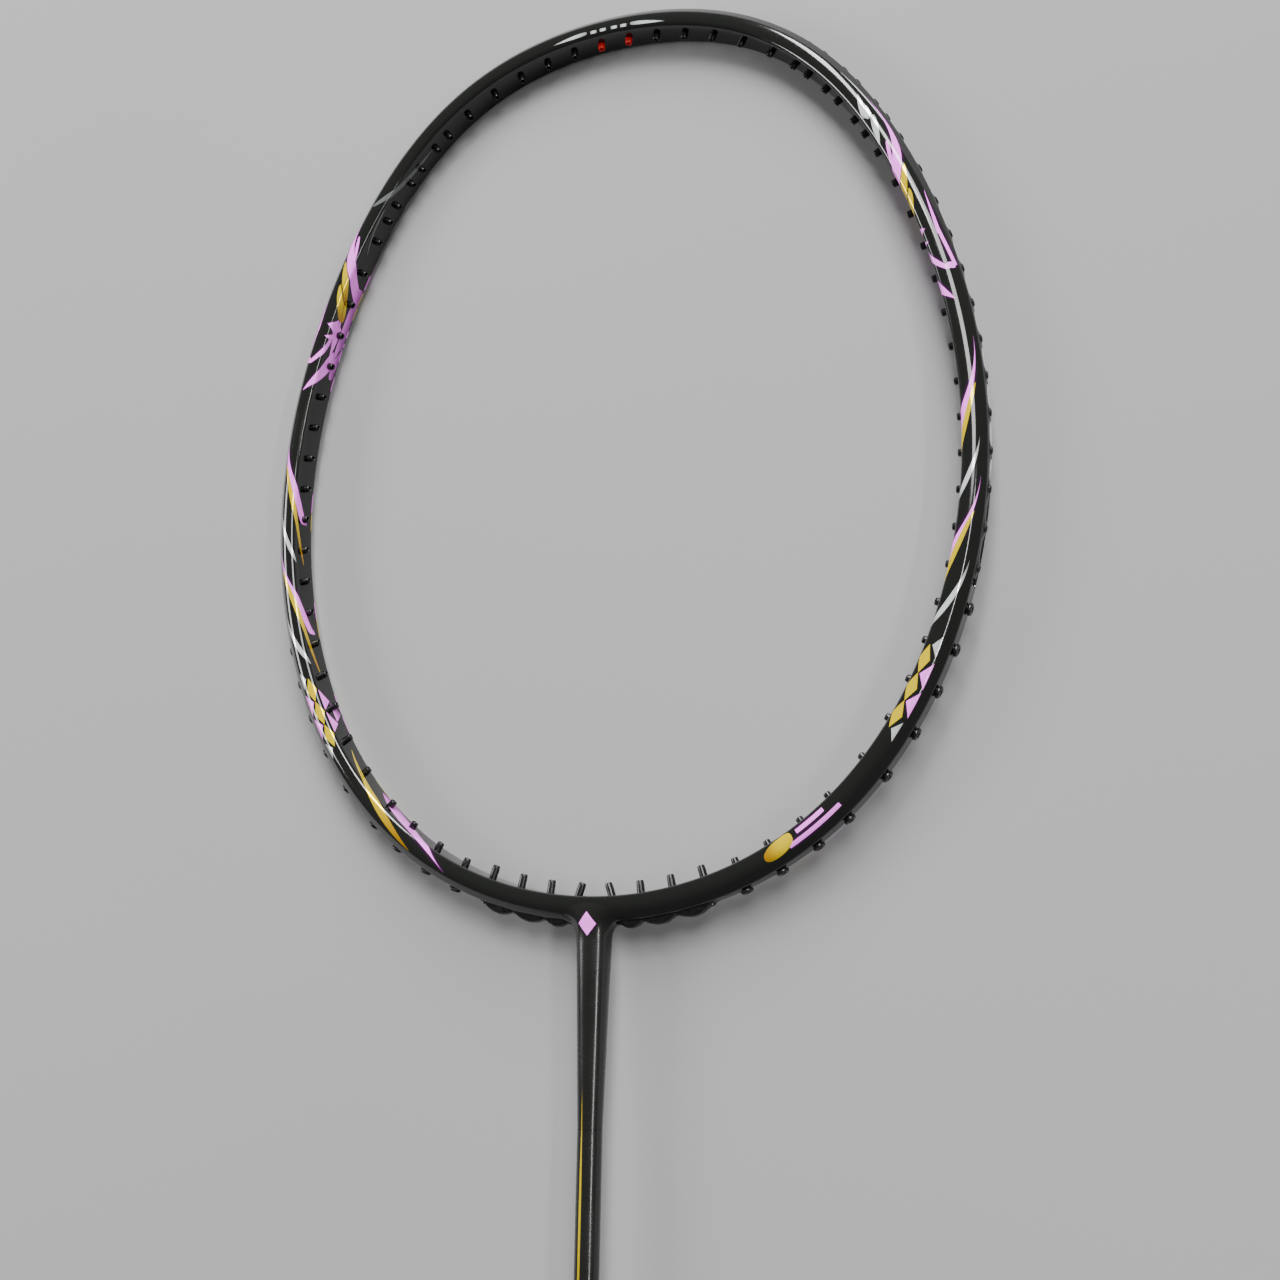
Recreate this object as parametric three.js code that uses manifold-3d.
// Badminton racket without strings, lying on its back.
// Millimetres. The origin is the centre of the butt face, +Y runs up the shaft to the
// tip of the head, +Z is the front of the string plane and +X is the right-hand side.

import * as THREE from "three";
import { mergeVertices } from "three/addons/utils/BufferGeometryUtils.js";
import Module from "manifold-3d";

const wasm = await Module();
wasm.setup();

// ---------------------------------------------------------------- driving dimensions

// Whole racket.
const overallLength = 675;
const clearance = 0.3; // gap between pieces that touch on the real racket

// Head hoop: a hollow carbon tube bent into an egg-shaped loop.
const headWidth = 210.6;
const headLength = 259.1;
const eggDrop = 8; // how far the widest line lies below the middle of the hoop
const shoulderTop = 0.0237; // fullness of the upper corners, 0 is an ellipse
const shoulderBottom = 0.0045; // fullness of the lower corners
const hoopFace = 6.4; // width of the tube in the string plane
const hoopDepth = 10.3; // depth of the tube from front to back
const hoopWall = 1.1;
const innerEdge = 1; // chamfer along the inside edges
const outerBevel = 2.6; // wide bevel along the outside edges
const bevelBulge = 0.45; // how far the bevel's middle stands out of its chord
const hoopSteps = 96;

// String bed: upright mains and level crosses, each through its own pair of holes.
const mainCount = 22;
const crossCount = 22;
const sideGap = 7.6; // outermost main to the barrel tips at the widest line
const topGap = 20.4; // highest cross to the barrel tips at the top
const bottomGap = 24.1; // lowest cross to the barrel tips at the throat
const topMainHoles = 9; // the two outer mains share a cross's hole at the top
const bottomMainHoles = 7; // the four outer mains share a cross's hole at the throat
const leastHoleSpacing = 5.6; // a main and a cross that meet the hoop together part by this

// Grommets: plastic barrels that line the string holes.
const barrelRadius = 1.05;
const stringBoreRadius = 0.6;
const tipProud = 1.6; // barrel tip inside the hoop's inner wall
const throatTipProud = 3.4; // longer tips of the throat strips
const barrelSides = 6;
const roundSides = 16; // sides of the bores and the throat
const stemSides = 12;
const shaftSides = 20;
const humpSteps = 4; // steps along one lens-shaped hump
const beadRadius = 1.65;
const beadHeight = 1.1;
const beadSides = 8;
const grooveWidth = 4.2; // channel round the outside of the upper hoop
const grooveDepth = 1.2;
const grooveEndMargin = 4; // channel past its last hole
const stripStep = 4; // length of one facet of a strip
const throatStripWidth = 3.4;
const throatStripBase = 0.7;
const throatStripHump = 1.5; // height of the lens-shaped hump between two holes
const throatHoleTilt = 17; // degrees that the innermost holes lean away from the throat
const ventRadius = 0.5;

// Which hole starts and ends each grommet, counted from the top down one side.
const grooveStrips = [
  { label: "top", first: 2, last: 8 },
  { label: "shoulder", first: 9, last: 16 },
  { label: "side", first: 17, last: 25 },
];
const firstBead = 26;
const lastBead = 34;

// Shaft and throat.
const shaftDiameter = 6.5;
const shaftBore = 4.3;
const throatLength = 52; // hoop to the full-length round of the shaft
const throatWidth = 9.2;
const throatDepth = 9.4;
const throatFillet = 3.4;
const throatCorner = 2.4; // squareness of the throat at the hoop, 2 is an ellipse
const throatSteps = 16;
const stemLength = 84; // T-joint's stem, from the middle of its crossbar
const barHalfLength = 26; // T-joint's crossbar, either side of the stem

// Handle.
const handleLength = 172; // butt face to the cone
const coneLength = 32;
const coneBaseMargin = 1; // cone's base inside the grip's outside
const coneTipWall = 1.1;
const coneCurve = 1.3; // how fast the cone narrows near its foot
const coneCorner = 0.8; // squareness of the cone's foot, 0 is an ellipse
const handleWidth = 22.6; // wooden core across the string plane
const handleDepth = 20.2; // wooden core from front to back
const handleBevel = 6; // octagon's corner cut
const buttFlare = 2.2; // extra half-width at the butt
const flareLength = 34;
const gripThickness = 2;
const tapeThickness = 0.5;
const tapeWidth = 14;
const buttPlate = 3.2;
const buttEdge = 1; // chamfer round the butt face
const skirtLength = 11;
const skirtWall = 1.3;
const footOverlap = 2; // core's thinned foot inside the body above it
const neckRadius = 7.6; // core's round neck inside the cone
const neckLength = 12;
const shaftInsertion = 92; // shaft inside the wooden core, below the cone

// ---------------------------------------------------------------- derived dimensions

const centreHalfWidth = (headWidth - hoopFace) / 2;
const centreHalfLength = (headLength - hoopFace) / 2;
const widestY = overallLength - hoopFace / 2 - centreHalfLength - eggDrop;
const hoopBottomY = overallLength - headLength;
const topTipY = overallLength - hoopFace - tipProud;
const bottomTipY = hoopBottomY + hoopFace + tipProud;
const tipOffset = -hoopFace / 2 - tipProud;
const cavityInner = -hoopFace / 2 + hoopWall;
const cavityOuter = hoopFace / 2 - grooveDepth - hoopWall;
const shaftRadius = shaftDiameter / 2;
const boreRadius = shaftBore / 2;
const stemRadius = boreRadius - clearance;
const stripOverhang = (leastHoleSpacing - clearance) / 2;
const flangeRadius = grooveWidth / 2 - clearance;
const throatEndY = hoopBottomY - throatLength;

// ---------------------------------------------------------------- solids

// A closed manifold solid from any closed three.js geometry.
function solidOf(geometry) {
  geometry.deleteAttribute("normal");
  geometry.deleteAttribute("uv");
  const merged = mergeVertices(geometry, 1e-4);
  return new wasm.Manifold(
    new wasm.Mesh({
      numProp: 3,
      vertProperties: new Float32Array(merged.attributes.position.array),
      triVerts: new Uint32Array(merged.index.array),
    }),
  );
}

// Joins rings of points into a skin: open lofts get flat ends, closed ones meet themselves.
// Each ring runs anticlockwise when seen from the loft's far end.
function loft(rings, closed = false) {
  const sides = rings[0].length;
  const points = rings.flat();
  const triangles = [];
  const lastRing = closed ? rings.length : rings.length - 1;
  for (let i = 0; i < lastRing; i++) {
    const here = i * sides;
    const next = ((i + 1) % rings.length) * sides;
    for (let j = 0; j < sides; j++) {
      const k = (j + 1) % sides;
      triangles.push(here + j, here + k, next + k);
      triangles.push(here + j, next + k, next + j);
    }
  }
  if (!closed) {
    const end = (rings.length - 1) * sides;
    for (let j = 1; j < sides - 1; j++) {
      triangles.push(0, j + 1, j);
      triangles.push(end, end + j, end + j + 1);
    }
  }
  const geometry = new THREE.BufferGeometry().setFromPoints(points);
  geometry.setIndex(triangles);
  return solidOf(geometry);
}

// A straight round rod between two points of the string plane.
function rod(from, to, radius, sides) {
  const length = from.distanceTo(to);
  const geometry = new THREE.CylinderGeometry(radius, radius, length, sides);
  const along = to.clone().sub(from).normalize();
  geometry.rotateZ(-Math.atan2(along.x, along.y));
  geometry.translate((from.x + to.x) / 2, (from.y + to.y) / 2, (from.z + to.z) / 2);
  return solidOf(geometry);
}

// A round solid about the shaft's axis between two heights.
function shaftRod(fromY, toY, radius, sides = roundSides) {
  return rod(new THREE.Vector3(0, fromY, 0), new THREE.Vector3(0, toY, 0), radius, sides);
}

// A named mesh from a solid.
function piece(name, solid, material) {
  const mesh = solid.getMesh();
  const geometry = new THREE.BufferGeometry();
  geometry.setAttribute("position", new THREE.BufferAttribute(mesh.vertProperties, 3));
  geometry.setIndex(new THREE.BufferAttribute(mesh.triVerts, 1));
  geometry.computeVertexNormals();
  const result = new THREE.Mesh(geometry, material);
  result.name = name;
  return result;
}

// ---------------------------------------------------------------- hoop path

// The hoop's centre line: an ellipse, pushed out at its corners and drawn up from its
// widest line. t is 0 at the right-hand side and a quarter turn at the tip.
function hoopPoint(t) {
  const s = Math.sin(t);
  const c = Math.cos(t);
  const middle = (shoulderTop + shoulderBottom) / 2;
  const slope = (shoulderTop - shoulderBottom) / 2;
  const fullness = s * s * (middle + slope * s);
  const x = centreHalfWidth * (c + fullness * (c - Math.cos(3 * t)));
  const y = widestY + centreHalfLength * (s + fullness * (s + Math.sin(3 * t)));
  return new THREE.Vector3(x, y + eggDrop * s * s, 0);
}

// Unit vector that points straight out of the hoop.
function hoopNormal(t) {
  const step = 1e-4;
  const tangent = hoopPoint(t + step).sub(hoopPoint(t - step)).normalize();
  return new THREE.Vector3(tangent.y, -tangent.x, 0);
}

// The point `out` millimetres outside the centre line and z in front of it.
function hoopOffset(t, out, z = 0) {
  const point = hoopPoint(t).addScaledVector(hoopNormal(t), out);
  point.z = z;
  return point;
}

// The angle between low and high where the measured value of the hoop is the target.
function solveAngle(measure, target, low, high) {
  const rising = measure(high) > measure(low);
  for (let i = 0; i < 40; i++) {
    const middle = (low + high) / 2;
    if (measure(middle) < target === rising) low = middle;
    else high = middle;
  }
  return (low + high) / 2;
}

// Rings of a section, given as [out, z] pairs, set square to the hoop at each angle.
function sweepHoop(section, angles) {
  return angles.map((t) => section(t).map(([out, z]) => hoopOffset(t, out, z)));
}

function hoopAngles(steps) {
  return Array.from({ length: steps }, (_, i) => (2 * Math.PI * i) / steps);
}

// Angles from one to another in even steps of about the given length.
function angleRun(from, to, length) {
  const span = hoopPoint(from).distanceTo(hoopPoint(to));
  const count = Math.max(2, Math.ceil(span / length));
  return Array.from({ length: count + 1 }, (_, i) => from + ((to - from) * i) / count);
}

// ---------------------------------------------------------------- string holes

// One side's holes from the top down: the angle of each, and how far it leans.
function findHoles() {
  const quarter = Math.PI / 2;
  const tipX = (t) => hoopOffset(t, tipOffset).x;
  const tipY = (t) => hoopOffset(t, tipOffset).y;
  const bedWidth = headWidth - 2 * (hoopFace + tipProud);
  const mainPitch = (bedWidth - 2 * sideGap) / (mainCount - 1);
  const crossPitch = (topTipY - bottomTipY - topGap - bottomGap) / (crossCount - 1);
  const angles = [];
  for (let i = 0; i < topMainHoles; i++) {
    angles.push(solveAngle(tipX, (i + 0.5) * mainPitch, 0, quarter));
  }
  for (let i = 0; i < crossCount; i++) {
    angles.push(solveAngle(tipY, topTipY - topGap - i * crossPitch, -quarter, quarter));
  }
  for (let i = 0; i < bottomMainHoles; i++) {
    angles.push(solveAngle(tipX, (i + 0.5) * mainPitch, -quarter, 0));
  }
  angles.sort((a, b) => b - a);
  return spreadHoles(angles).map((t, i) => {
    const innermost = i === angles.length - 1;
    return { number: i + 1, t, lean: innermost ? THREE.MathUtils.degToRad(throatHoleTilt) : 0 };
  });
}

// Moves two neighbouring holes apart, each by the same amount, until all are far enough
// from each other for their barrels.
function spreadHoles(angles) {
  const spread = [...angles];
  const rounds = 60;
  for (let round = 0; round < rounds; round++) {
    for (let i = 1; i < spread.length; i++) {
      const here = hoopOffset(spread[i], tipOffset);
      const gap = here.distanceTo(hoopOffset(spread[i - 1], tipOffset));
      const turn = Math.max(0, leastHoleSpacing - gap) / 2 / centreHalfWidth;
      spread[i - 1] += turn;
      spread[i] -= turn;
    }
  }
  return spread;
}

const holes = findHoles();
const holeNumber = (number) => holes[number - 1];

// A rod along a hole of the right-hand side, between two distances outside the centre
// line. A leaning hole keeps its barrel tip in place.
function holeRod(hole, fromOut, toOut, radius, sides = barrelSides) {
  const tip = hoopOffset(hole.t, tipOffset);
  const along = hoopNormal(hole.t).applyAxisAngle(new THREE.Vector3(0, 0, 1), hole.lean);
  const scale = 1 / Math.cos(hole.lean);
  const from = tip.clone().addScaledVector(along, (fromOut - tipOffset) * scale);
  const to = tip.clone().addScaledVector(along, (toOut - tipOffset) * scale);
  return rod(from, to, radius, sides);
}

// The left-hand twin of a right-hand solid, or the solid itself.
function onSide(solid, side) {
  return side === "left" ? solid.mirror([1, 0, 0]) : solid;
}

// Every string hole of both sides, as one cutter for the pieces that they pass through.
function holeCutter(firstHole, lastHole) {
  const reach = hoopFace;
  let cutter = null;
  for (const hole of holes.slice(firstHole - 1, lastHole)) {
    for (const side of ["left", "right"]) {
      const cut = onSide(holeRod(hole, tipOffset - reach, reach, barrelRadius + clearance), side);
      cutter = cutter ? cutter.add(cut) : cut;
    }
  }
  return cutter;
}

// ---------------------------------------------------------------- hoop and throat

// Outer section of the tube, grown all round by a margin.
function tubeSection(margin) {
  const inner = -hoopFace / 2 - margin;
  const outer = hoopFace / 2 + margin;
  const front = hoopDepth / 2 + margin;
  const mid = outerBevel / 2 + bevelBulge * Math.SQRT1_2;
  const half = [
    [inner, front - innerEdge],
    [inner + innerEdge, front],
    [outer - outerBevel, front],
    [outer - outerBevel + mid, front - outerBevel + mid],
    [outer, front - outerBevel],
  ];
  const back = half.map(([out, z]) => [out, -z]).reverse();
  return [...back, ...half];
}

// Section of the hollow, shrunk all round by a margin.
function cavitySection(margin) {
  const inner = cavityInner + margin;
  const outer = cavityOuter - margin;
  const front = hoopDepth / 2 - hoopWall - margin;
  return [
    [outer, -front + outerBevel / 2],
    [outer - outerBevel / 2, -front],
    [inner, -front],
    [inner, front],
    [outer - outerBevel / 2, front],
    [outer, front - outerBevel / 2],
  ];
}

function hoopSolid(section) {
  return loft(sweepHoop(() => section, hoopAngles(hoopSteps)), true);
}

// The channel round the outside that the strips of grommets lie in, open to the outside.
function grooveCutter() {
  const last = grooveStrips[grooveStrips.length - 1].last;
  const stepAngle = grooveEndMargin / centreHalfWidth;
  const end = holeNumber(last).t - stepAngle;
  const floor = hoopFace / 2 - grooveDepth;
  const section = rectangle(floor, hoopFace, grooveWidth / 2);
  const angles = angleRun(end, Math.PI / 2, stripStep * 2);
  const mirrored = angles.map((t) => Math.PI - t).reverse();
  return loft(sweepHoop(() => section, [...angles, ...mirrored.slice(1)]));
}

// A flat rectangle of the hoop's section between two distances from the centre line.
function rectangle(fromOut, toOut, halfDepth) {
  return [
    [fromOut, halfDepth],
    [toOut, halfDepth],
    [toOut, -halfDepth],
    [fromOut, -halfDepth],
  ];
}

function makeHeadFrame(material) {
  const shell = hoopSolid(tubeSection(0)).subtract(hoopSolid(cavitySection(0)));
  const stemHole = shaftRod(hoopBottomY - 1, hoopBottomY + hoopFace / 2, stemRadius + clearance, stemSides);
  const innerWall = overallLength - hoopFace;
  const vent = shaftRod(innerWall - 1, innerWall + 2 * hoopWall, ventRadius, barrelSides);
  const solid = shell
    .subtract(grooveCutter())
    .subtract(holeCutter(1, holes.length))
    .subtract(stemHole)
    .subtract(vent);
  return piece("head_frame", solid, material);
}

// Half-width of the throat at a distance below the hoop: a smooth taper to the shaft,
// with a quarter-round fillet where it meets the hoop.
function throatHalf(distance, topSize) {
  const part = THREE.MathUtils.clamp(distance / throatLength, 0, 1);
  const taper = shaftRadius + (topSize / 2 - shaftRadius) * (1 - part);
  if (distance >= throatFillet) return taper;
  const drop = throatFillet - Math.max(distance, 0);
  return taper + throatFillet - Math.sqrt(throatFillet ** 2 - drop ** 2);
}

// A ring about the shaft's axis: a superellipse, from an ellipse at power 2 to a box.
function ovalRing(y, halfX, halfZ, power = 2, sides = roundSides) {
  const bend = (value) => Math.sign(value) * Math.abs(value) ** (2 / power);
  return Array.from({ length: sides }, (_, i) => {
    const angle = (2 * Math.PI * (i + 0.5)) / sides;
    return new THREE.Vector3(halfX * bend(Math.sin(angle)), y, halfZ * bend(Math.cos(angle)));
  });
}

// The moulded throat that flows out of the hoop and narrows down to the shaft.
function makeThroat(material) {
  const rings = [];
  for (let i = 0; i <= throatSteps; i++) {
    const part = (1 - i / throatSteps) ** 2;
    const distance = throatLength * part;
    const power = 2 + (throatCorner - 2) * (1 - THREE.MathUtils.smoothstep(part, 0, 1));
    const y = hoopBottomY - distance;
    const halfZ = Math.min(throatHalf(distance, throatDepth), hoopDepth / 2);
    rings.push(ovalRing(y, throatHalf(distance, throatWidth), halfZ, power));
  }
  const top = rings[rings.length - 1].map((point) => point.clone().setY(hoopBottomY + hoopFace / 2));
  const body = loft([...rings, top]);
  const bore = shaftRod(throatEndY - 1, hoopBottomY + hoopFace, boreRadius);
  const strip = throatStripBody(clearance);
  const solid = body
    .subtract(hoopSolid(tubeSection(clearance)))
    .subtract(bore)
    .subtract(strip)
    .subtract(onSide(strip, "left"))
    .subtract(holeCutter(holes.length, holes.length));
  return piece("throat", solid, material);
}

// The T-joint hidden inside: a curved bar in the hoop's hollow and a stem down the shaft.
function makeTJoint(material) {
  const barY = hoopBottomY + hoopFace / 2 - (cavityInner + cavityOuter) / 2;
  const halfAngle = barHalfLength / centreHalfWidth;
  const down = -Math.PI / 2;
  const angles = angleRun(down - halfAngle, down + halfAngle, stripStep * 2);
  const bar = loft(sweepHoop(() => cavitySection(clearance), angles));
  const stem = shaftRod(barY - stemLength, barY, stemRadius, stemSides);
  const solid = bar.add(stem).subtract(holeCutter(lastBead, holes.length));
  return piece("t_joint", solid, material);
}

// ---------------------------------------------------------------- grommets

// A barrel through the hoop, from its tip to the given distance outside.
function barrel(hole, tip, toOut) {
  return holeRod(hole, tip, toOut, barrelRadius);
}

function stringBore(hole) {
  return holeRod(hole, tipOffset - hoopFace, 2 * hoopFace, stringBoreRadius);
}

// A single grommet whose flat head sits in the channel.
function makeChannelGrommet(number, side, material) {
  const hole = holeNumber(number);
  const floor = hoopFace / 2 - grooveDepth + clearance;
  const solid = barrel(hole, tipOffset, hoopFace / 2)
    .add(holeRod(hole, floor, hoopFace / 2, flangeRadius))
    .subtract(stringBore(hole));
  return piece(`grommet_red_${side}`, onSide(solid, side), material);
}

// A single grommet whose round bead stands on the outside of the hoop.
function makeBeadGrommet(number, side, material) {
  const hole = holeNumber(number);
  const seat = hoopFace / 2 + clearance;
  const solid = barrel(hole, tipOffset, seat + beadHeight)
    .add(holeRod(hole, seat, seat + beadHeight, beadRadius, beadSides))
    .subtract(stringBore(hole));
  return piece(`grommet_${number}_${side}`, onSide(solid, side), material);
}

// A strip of grommets joined by a flat web that lies in the channel.
function makeGrooveStrip({ label, first, last }, side, material) {
  const reach = stripOverhang / centreHalfWidth;
  const from = holeNumber(last).t - reach;
  const to = holeNumber(first).t + reach;
  const floor = hoopFace / 2 - grooveDepth + clearance;
  const section = rectangle(floor, hoopFace / 2, grooveWidth / 2 - clearance);
  let solid = loft(sweepHoop(() => section, angleRun(from, to, stripStep)));
  for (const hole of holes.slice(first - 1, last)) {
    solid = solid.add(barrel(hole, tipOffset, floor + clearance)).subtract(stringBore(hole));
  }
  return piece(`grommet_strip_${label}_${side}`, onSide(solid, side), material);
}

// The band of a throat strip, with a hump between each two holes, grown by a margin.
function throatStripBody(margin) {
  const first = lastBead + 1;
  const marks = holes.slice(first - 1).map((hole) => {
    const slide = Math.tan(hole.lean) * (hoopFace + tipProud);
    return hole.t + slide / centreHalfWidth;
  });
  const reach = (barrelRadius + margin) / centreHalfWidth;
  const angles = [marks[marks.length - 1] - reach];
  const heights = [throatStripBase];
  for (let i = marks.length - 1; i > 0; i--) {
    for (let j = 0; j < humpSteps; j++) {
      angles.push(marks[i] + ((marks[i - 1] - marks[i]) * j) / humpSteps);
      heights.push(throatStripBase + throatStripHump * Math.sin((Math.PI * j) / humpSteps));
    }
  }
  angles.push(marks[0], marks[0] + reach);
  heights.push(throatStripBase, throatStripBase);
  const seat = hoopFace / 2 + clearance - margin;
  const rings = angles.map((t, i) => {
    const top = hoopFace / 2 + clearance + heights[i] + margin;
    const section = rectangle(seat, top, throatStripWidth / 2 + margin);
    return section.map(([out, z]) => hoopOffset(t, out, z));
  });
  return loft(rings);
}

// The strip beside the throat, with longer barrels and humps that carry the string.
function makeThroatStrip(side, material) {
  const top = hoopFace / 2 + 2 * clearance;
  const tip = -hoopFace / 2 - throatTipProud;
  let solid = throatStripBody(0);
  for (const hole of holes.slice(lastBead)) {
    solid = solid.add(barrel(hole, tip, top)).subtract(stringBore(hole));
  }
  return piece(`grommet_strip_throat_${side}`, onSide(solid, side), material);
}

// ---------------------------------------------------------------- shaft and handle

// A tube about the shaft's axis, turned from its wall's profile.
function makeShaft(material) {
  const low = handleLength - shaftInsertion;
  const high = throatEndY - clearance;
  const profile = [
    new THREE.Vector2(boreRadius, low),
    new THREE.Vector2(shaftRadius, low),
    new THREE.Vector2(shaftRadius, high),
    new THREE.Vector2(boreRadius, high),
    new THREE.Vector2(boreRadius, low),
  ];
  return piece("shaft", solidOf(new THREE.LatheGeometry(profile, shaftSides)), material);
}

// How much wider each side of the handle is near the butt.
function flareAt(y) {
  return buttFlare * (1 - THREE.MathUtils.smoothstep(y, 0, flareLength));
}

// An eight-sided ring of the handle at height y, grown outside the wooden core.
function handleRing(y, growth) {
  const halfX = handleWidth / 2 + flareAt(y) + growth;
  const halfZ = handleDepth / 2 + flareAt(y) + growth;
  const cut = handleBevel + growth * (2 - Math.SQRT2);
  return [
    [halfX, cut - halfZ],
    [halfX - cut, -halfZ],
    [cut - halfX, -halfZ],
    [-halfX, cut - halfZ],
    [-halfX, halfZ - cut],
    [cut - halfX, halfZ],
    [halfX - cut, halfZ],
    [halfX, halfZ - cut],
  ].map(([x, z]) => new THREE.Vector3(x, y, z));
}

// A straight or flared length of the handle's octagon.
function handleBody(fromY, toY, growth) {
  const heights = [fromY];
  const steps = 4;
  for (let i = 1; i <= steps; i++) {
    const y = (flareLength * i) / steps;
    if (y > fromY + 1 && y < toY - 1) heights.push(y);
  }
  heights.push(toY);
  return loft(heights.map((y) => handleRing(y, growth)));
}

// The wooden core: reduced inside the butt cap's skirt, with a round neck for the cone.
function makeHandleCore(material) {
  const skirtTop = buttPlate + skirtLength;
  const top = handleLength - clearance;
  const foot = handleBody(buttPlate + clearance, skirtTop + footOverlap, -skirtWall - clearance);
  const body = handleBody(skirtTop + clearance, top, 0);
  const neck = shaftRod(top - 1, top + neckLength, neckRadius);
  const boreBottom = handleLength - shaftInsertion - clearance;
  const bore = shaftRod(boreBottom, top + neckLength + 1, shaftRadius + clearance);
  return piece("handle_core", foot.add(body).add(neck).subtract(bore), material);
}

// The butt cap: a plate over the end of the handle and a skirt under the grip.
function makeButtCap(material) {
  const lip = clearance + gripThickness;
  const face = handleRing(0, lip - buttEdge);
  const edge = handleRing(buttEdge, lip);
  const back = handleRing(buttPlate, lip);
  const plate = loft([face, edge, back]);
  const skirt = handleBody(buttPlate - 1, buttPlate + skirtLength, 0);
  const pocket = handleBody(buttPlate, buttPlate + skirtLength + 1, -skirtWall);
  return piece("butt_cap", plate.add(skirt.subtract(pocket)), material);
}

// The grip: a padded sleeve from the butt plate to just below the cone.
function makeGrip(material) {
  const low = buttPlate + clearance;
  const high = handleLength - clearance;
  const outside = handleBody(low, high, clearance + gripThickness);
  const inside = handleBody(low - 1, high + 1, clearance);
  return piece("grip_wrap", outside.subtract(inside), material);
}

// The finishing tape that closes the upper end of the grip.
function makeEndTape(material) {
  const high = handleLength - clearance;
  const seat = 2 * clearance + gripThickness;
  const outside = handleBody(high - tapeWidth, high, seat + tapeThickness);
  const inside = handleBody(high - tapeWidth - 1, high + 1, seat);
  return piece("end_tape", outside.subtract(inside), material);
}

// The cone between handle and shaft, hollow over the core's neck.
function makeConeCap(material) {
  const baseX = handleWidth / 2 + gripThickness - coneBaseMargin;
  const baseZ = handleDepth / 2 + gripThickness - coneBaseMargin;
  const tip = shaftRadius + clearance + coneTipWall;
  const steps = 6;
  const rings = [];
  for (let i = 0; i <= steps; i++) {
    const part = i / steps;
    const narrow = (1 - part) ** coneCurve;
    const y = handleLength + coneLength * part;
    const power = 2 + coneCorner * narrow;
    rings.push(ovalRing(y, tip + (baseX - tip) * narrow, tip + (baseZ - tip) * narrow, power));
  }
  const pocketTop = handleLength + neckLength;
  const pocket = shaftRod(handleLength - 1, pocketTop, neckRadius + clearance);
  const bore = shaftRod(handleLength, handleLength + coneLength + 1, shaftRadius + clearance);
  return piece("cone_cap", loft(rings).subtract(pocket).subtract(bore), material);
}

// ---------------------------------------------------------------- materials

function finish(color, roughness, metalness = 0) {
  return new THREE.MeshStandardMaterial({ color, roughness, metalness, flatShading: true });
}

const carbonLacquer = finish(0x101311, 0.18);
const bareCarbon = finish(0x24262a, 0.4);
const blackNylon = finish(0x15161a, 0.35);
const redNylon = finish(0xc02820, 0.35);
const ashWood = finish(0xc9a777, 0.6);
const paddedGrip = finish(0x1b1b1f, 0.75);
const finishingTape = finish(0xb98fc4, 0.45);
const mouldedPlastic = finish(0x17181b, 0.3);

// ---------------------------------------------------------------- assembly

const racket = new THREE.Group();
racket.name = "badminton_racket";
racket.add(makeHeadFrame(carbonLacquer));
racket.add(makeThroat(carbonLacquer));
racket.add(makeTJoint(bareCarbon));
racket.add(makeShaft(carbonLacquer));
racket.add(makeConeCap(mouldedPlastic));
racket.add(makeHandleCore(ashWood));
racket.add(makeGrip(paddedGrip));
racket.add(makeEndTape(finishingTape));
racket.add(makeButtCap(mouldedPlastic));
for (const side of ["left", "right"]) {
  racket.add(makeChannelGrommet(1, side, redNylon));
  for (const strip of grooveStrips) {
    racket.add(makeGrooveStrip(strip, side, blackNylon));
  }
  for (let number = firstBead; number <= lastBead; number++) {
    racket.add(makeBeadGrommet(number, side, blackNylon));
  }
  racket.add(makeThroatStrip(side, blackNylon));
}

export default racket;
